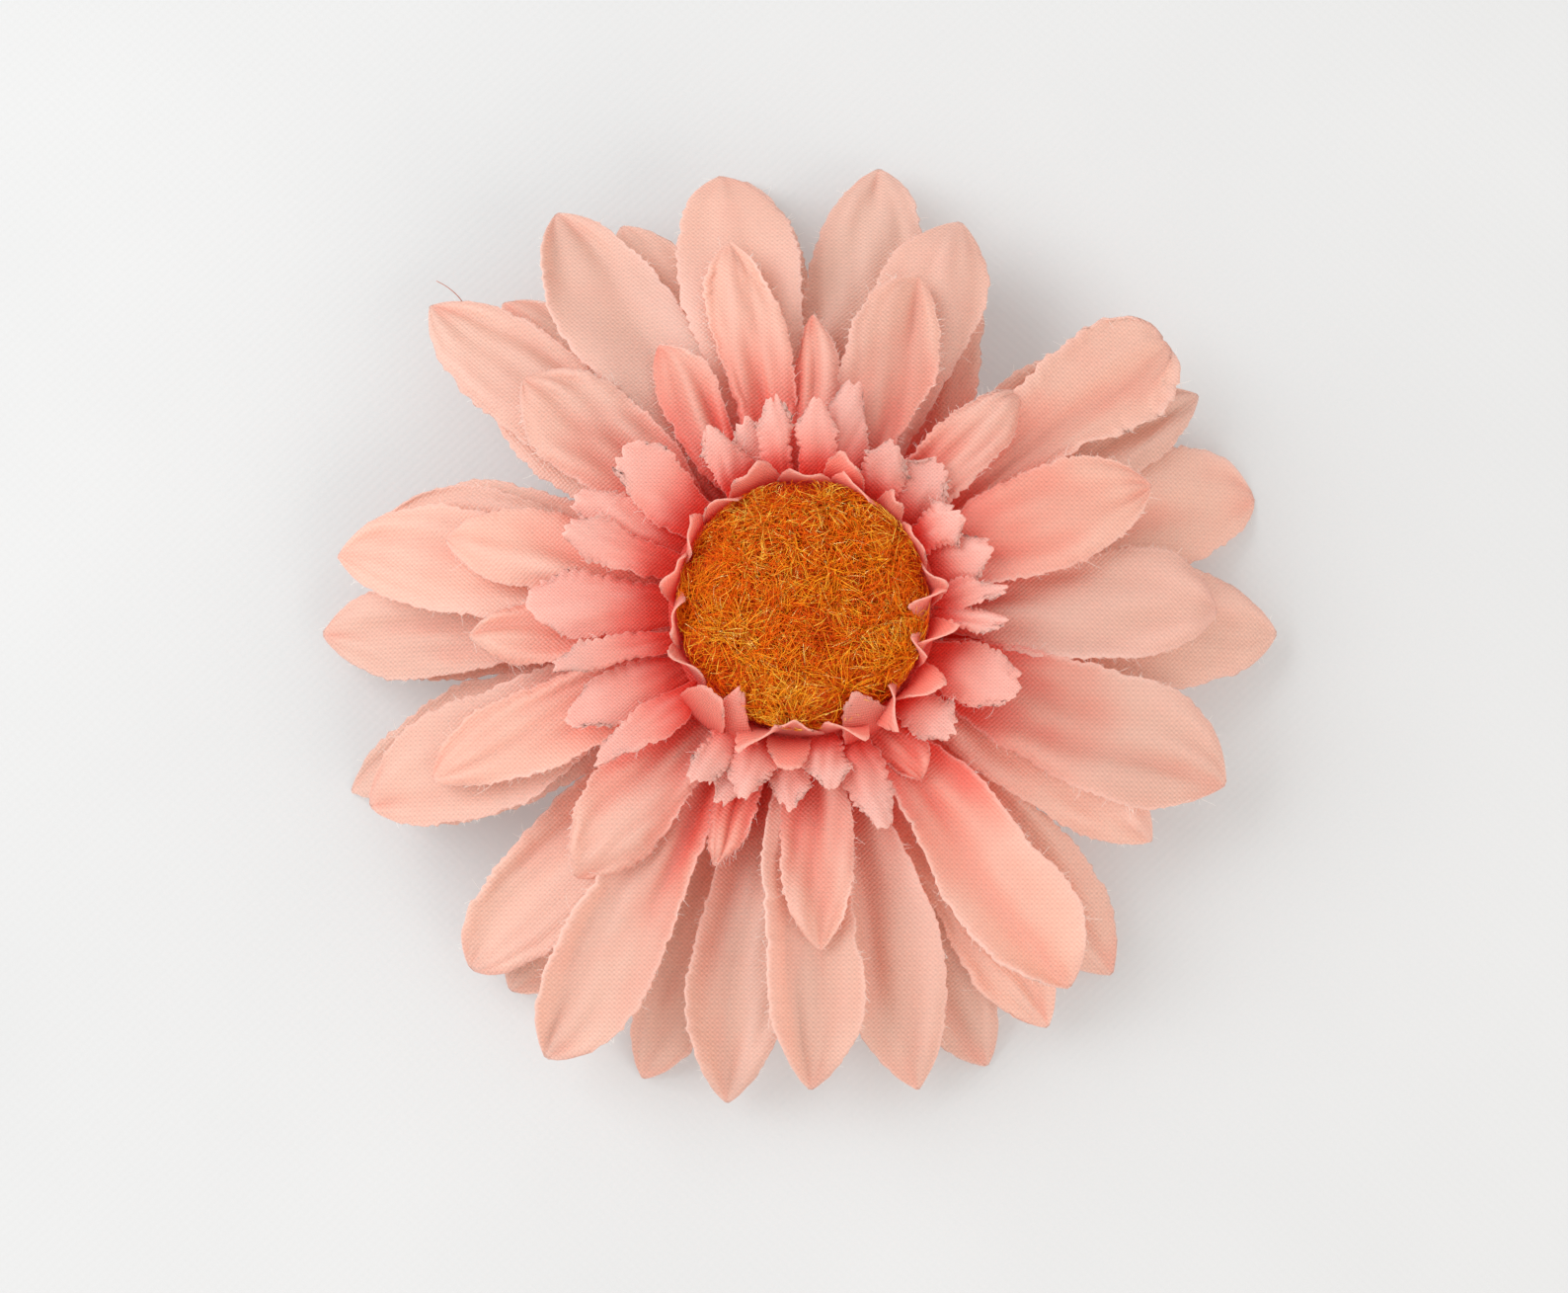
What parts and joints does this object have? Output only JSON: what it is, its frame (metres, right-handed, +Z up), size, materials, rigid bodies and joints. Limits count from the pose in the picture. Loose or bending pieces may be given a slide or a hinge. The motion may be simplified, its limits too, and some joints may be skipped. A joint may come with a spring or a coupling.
{
  "type": "flower hair clip",
  "caption": "Layered cloth daisy flower with a fibre centre, glued on felt to a sprung metal hair clip with a toothed jaw that opens.",
  "frame": {"origin": "on the surface that the part stands on, under the flower's axis, which is the middle of its box", "axes": "+Z up along the flower's post, out of its face; X along the clip, with the jaw tips towards -X and the finger tabs towards +X; +Y completes a right-handed frame"},
  "size_m": [0.1, 0.1004, 0.0279],
  "materials": {
    "nickel_steel": "bright nickel plate, lightly scuffed",
    "pin_steel": "plain rivet steel",
    "spring_wire": "drawn spring wire",
    "hot_glue": "cloudy hot-melt glue",
    "felt": "pressed felt",
    "moulded_plastic": "soft moulded plastic",
    "petal_cloth": "plain-weave polyester with a satin sheen, paler at the tips",
    "frill_cloth": "plain-weave polyester, deeper pink",
    "collar_cloth": "plain-weave polyester, coral red",
    "rust_fibre": "crinkled cut fibre",
    "gold_fibre": "crinkled cut fibre with metallic glints"
  },
  "bodies": {
    "flower_and_top_plate": {"clip_top_plate": "nickel_steel", "hinge_pin": "pin_steel", "spring_fixed_half": "spring_wire", "clip_glue": "hot_glue", "felt_disc": "felt", "glue_pad": "hot_glue", "calyx_cap": "moulded_plastic", "petals_lower": "petal_cloth", "washer_1": "moulded_plastic", "petals_middle": "petal_cloth", "washer_2": "moulded_plastic", "petals_upper": "petal_cloth", "washer_3": "moulded_plastic", "petals_short": "petal_cloth", "washer_4": "moulded_plastic", "frill_outer": "frill_cloth", "washer_5": "moulded_plastic", "frill_inner": "frill_cloth", "centre_button": "moulded_plastic", "collar": "collar_cloth", "pile_rust": "rust_fibre", "pile_gold": "gold_fibre"},
    "jaw": {"clip_lower_jaw": "nickel_steel", "spring_moving_half": "spring_wire"}
  },
  "joints": [
    {"name": "jaw_open", "type": "hinge", "parent": "flower_and_top_plate", "child": "jaw", "pos_m": [0.011, 0, 0.00599], "axis": [0, -1, 0], "range_deg": [0, 30], "stiffness_Nm_per_rad": 0.02, "springref_deg": -114.59}
  ]
}
